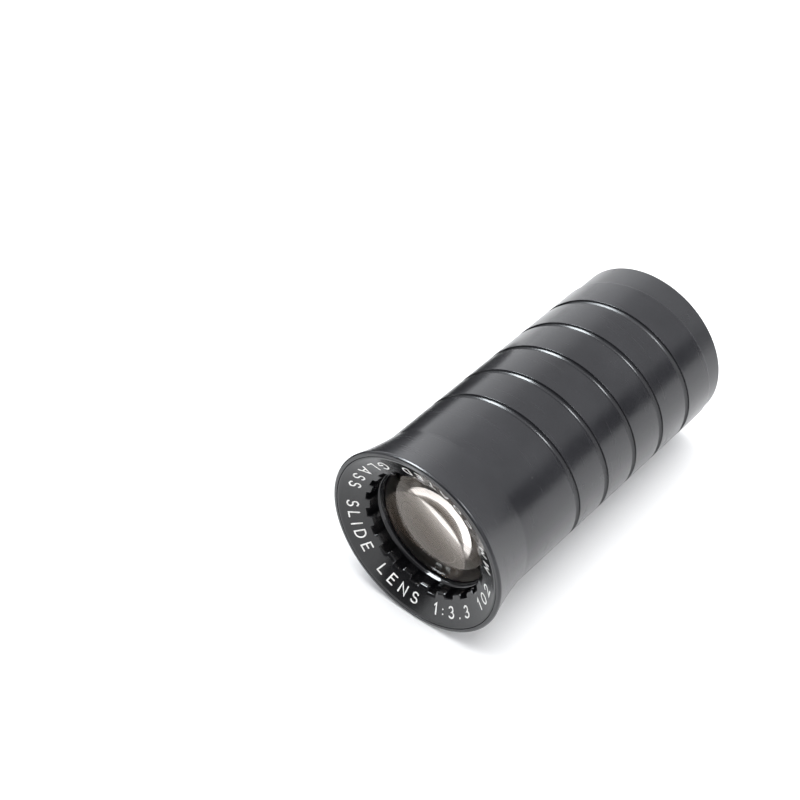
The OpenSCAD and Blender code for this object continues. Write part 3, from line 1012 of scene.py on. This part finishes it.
def white(name, colour, rough):
    """A plain pale surface with a trace of unevenness."""
    material, nodes, links, bsdf, coords = shader(name)
    grain = noise_at(nodes, links, coords, 40.0, 3.0, 0.5)
    duller = tuple(c * 0.99 for c in colour)
    links.new(ramp(nodes, links, grain, 0.3, 0.7, duller, colour), bsdf.inputs["Base Color"])
    bsdf.inputs["Roughness"].default_value = rough
    return material


TABLE_FRONT = -0.17
TABLE_REACH = 3.0
TABLE_GAP = 0.00003


def build_table():
    """A wide pale table a hair under the bell's lip and the rear end, on which the lens lies."""
    front_touch = Vector((0, RIM_Y + RIM_ROUND * MM, -RIM_R * MM))
    rear_touch = Vector((0, RIM_Y + (BARREL_L - REAR_ROUND) * MM, -BARREL_R * MM))
    slope = (rear_touch.z - front_touch.z) / (rear_touch.y - front_touch.y)
    mesh = bpy.data.meshes.new("table")
    plan = [
        (-TABLE_REACH, TABLE_FRONT), (TABLE_REACH, TABLE_FRONT), (TABLE_REACH, TABLE_REACH),
        (-TABLE_REACH, TABLE_REACH),
    ]
    corners = [(x, y, front_touch.z + (y - front_touch.y) * slope - TABLE_GAP) for x, y in plan]
    mesh.from_pydata(corners, [], [(0, 1, 2, 3)])
    mesh.materials.append(white("table_white", (0.9, 0.9, 0.9), 0.6))
    table = bpy.data.objects.new("table", mesh)
    bpy.context.scene.collection.objects.link(table)


def build_flag():
    """A dark round flag beside the lens, which shows only as a dark edge reflected in the gloss."""
    columns, axis_x, radius = 48, -0.0735, 0.0225
    ends = (RIM_Y - 0.009, RIM_Y + 0.086)
    turn = [math.tau * k / columns for k in range(columns)]
    verts = [(axis_x + radius * math.cos(a), y, radius * math.sin(a)) for y in ends for a in turn]
    faces = []
    for k in range(columns):
        j = (k + 1) % columns
        faces.append((k, j, columns + j, columns + k))
    faces += [tuple(range(columns)), tuple(range(2 * columns - 1, columns - 1, -1))]
    mesh = bpy.data.meshes.new("flag")
    mesh.from_pydata(verts, [], faces)
    mesh.materials.append(MATT_BLACK)
    flag = bpy.data.objects.new("flag", mesh)
    bpy.context.scene.collection.objects.link(flag)
    flag.visible_camera = False
    flag.visible_diffuse = False
    flag.visible_shadow = False


def softbox(name, start, end, width, watts, colour, kind):
    """A rectangular light a metre off whose long side runs between two directions.

    A "fill" is not seen in the gloss, and a "strip" is seen only there.
    """
    start, end = Vector(start).normalized(), Vector(end).normalized()
    light = bpy.data.lights.new(name, "AREA")
    light.shape = "RECTANGLE"
    light.size, light.size_y = (end - start).length, width
    light.energy = watts
    light.color = colour
    lamp = bpy.data.objects.new(name, light)
    towards = (start + end).normalized()
    along = (end - start).normalized()
    turn = Matrix((along, towards.cross(along), towards)).transposed().to_4x4()
    lamp.matrix_world = Matrix.Translation(towards) @ turn
    lamp.visible_diffuse = kind == "fill"
    lamp.visible_glossy = kind == "strip"
    bpy.context.scene.collection.objects.link(lamp)


# Patches of the room: the direction of the middle, its strength, and the angles from the middle, in
# degrees, out to which it is full and at which it has faded.
ROOM_PATCHES = [
    ((0.0, 0.0, 1.0), 1.1, 20, 60),
    ((-0.77, 0.57, 0.27), 1.8, 14, 38),
    ((0.8, 0.57, 0.18), 0.15, 8, 19),
    ((0.0, -0.8, 0.6), 0.3, 20, 38),
    ((-0.2, -0.98, 0.03), 0.1, 18, 42),
]
ROOM = 1.0
BACKDROP = 1.05


def build_room():
    """An even pale room with lighter and darker patches, and a white backdrop for the camera."""
    world = bpy.data.worlds.new("studio")
    bpy.context.scene.world = world
    world.use_nodes = True
    nodes, links = world.node_tree.nodes, world.node_tree.links
    background = nodes["Background"]
    direction = nodes.new("ShaderNodeTexCoord").outputs["Generated"]

    def blend(factor, a, b):
        """A mix of numbers, from a (a value or a socket) to the value b."""
        node = nodes.new("ShaderNodeMix")
        links.new(factor, node.inputs[0])
        if hasattr(a, "links"):
            links.new(a, node.inputs[2])
        else:
            node.inputs[2].default_value = a
        node.inputs[3].default_value = b
        return node.outputs[0]

    strength = ROOM
    for middle, value, full, faded in ROOM_PATCHES:
        dot = nodes.new("ShaderNodeVectorMath")
        dot.operation = "DOT_PRODUCT"
        dot.inputs[1].default_value = Vector(middle).normalized()
        links.new(direction, dot.inputs[0])
        share = nodes.new("ShaderNodeMapRange")
        share.interpolation_type = "SMOOTHSTEP"
        share.inputs["From Min"].default_value = math.cos(math.radians(faded))
        share.inputs["From Max"].default_value = math.cos(math.radians(full))
        links.new(dot.outputs["Value"], share.inputs["Value"])
        strength = blend(share.outputs["Result"], strength, value)
    seen = nodes.new("ShaderNodeLightPath").outputs["Is Camera Ray"]
    links.new(blend(seen, strength, BACKDROP), background.inputs["Strength"])
    background.inputs["Color"].default_value = (0.985, 1.0, 1.03, 1.0)


def build_light():
    """The room, two fills, and the two strips that lie along the barrel's gloss."""
    build_room()
    softbox("softbox_over", (-0.5, 0.0, 0.86), (0.5, 0.0, 0.86), 0.8, 10.0, (1, 1, 1), "fill")
    softbox("softbox_side", (0.9, -0.5, 0.42), (0.9, 0.5, 0.42), 0.5, 4.5, (1, 1, 1), "fill")
    softbox("strip_left", (-0.445, 0.2, 0.87), (-0.44, -0.74, 0.5), 0.4, 38.0, (0.9, 0.96, 1.0), "strip")
    softbox("strip_right", (0.6, 0.28, 0.75), (0.6, -0.08, 0.79), 0.3, 7.0, (0.93, 0.97, 1.0), "strip")
    view = bpy.context.scene.view_settings
    view.view_transform = "Standard"
    view.look = "None"


def build_camera():
    """The photograph's place, as a view from the right of the front, well above, with a long lens."""
    data = bpy.data.cameras.new("camera")
    data.sensor_width = 36.0
    data.lens = 86.93
    data.clip_start, data.clip_end = 0.02, 20.0
    camera = bpy.data.objects.new("camera", data)
    place = Vector((188.2, -238.3, 324.1)) * MM + Vector((0, RIM_Y, 0))
    from_front, downwards, roll = 39.067, 42.6076, 1.3748
    turn = Matrix.Rotation(math.radians(from_front), 4, "Z")
    turn @= Matrix.Rotation(math.radians(90 - downwards), 4, "X")
    turn @= Matrix.Rotation(math.radians(roll), 4, "Z")
    camera.matrix_world = Matrix.Translation(place) @ turn
    bpy.context.scene.collection.objects.link(camera)
    bpy.context.scene.camera = camera


build_table()
build_flag()
build_light()
build_camera()
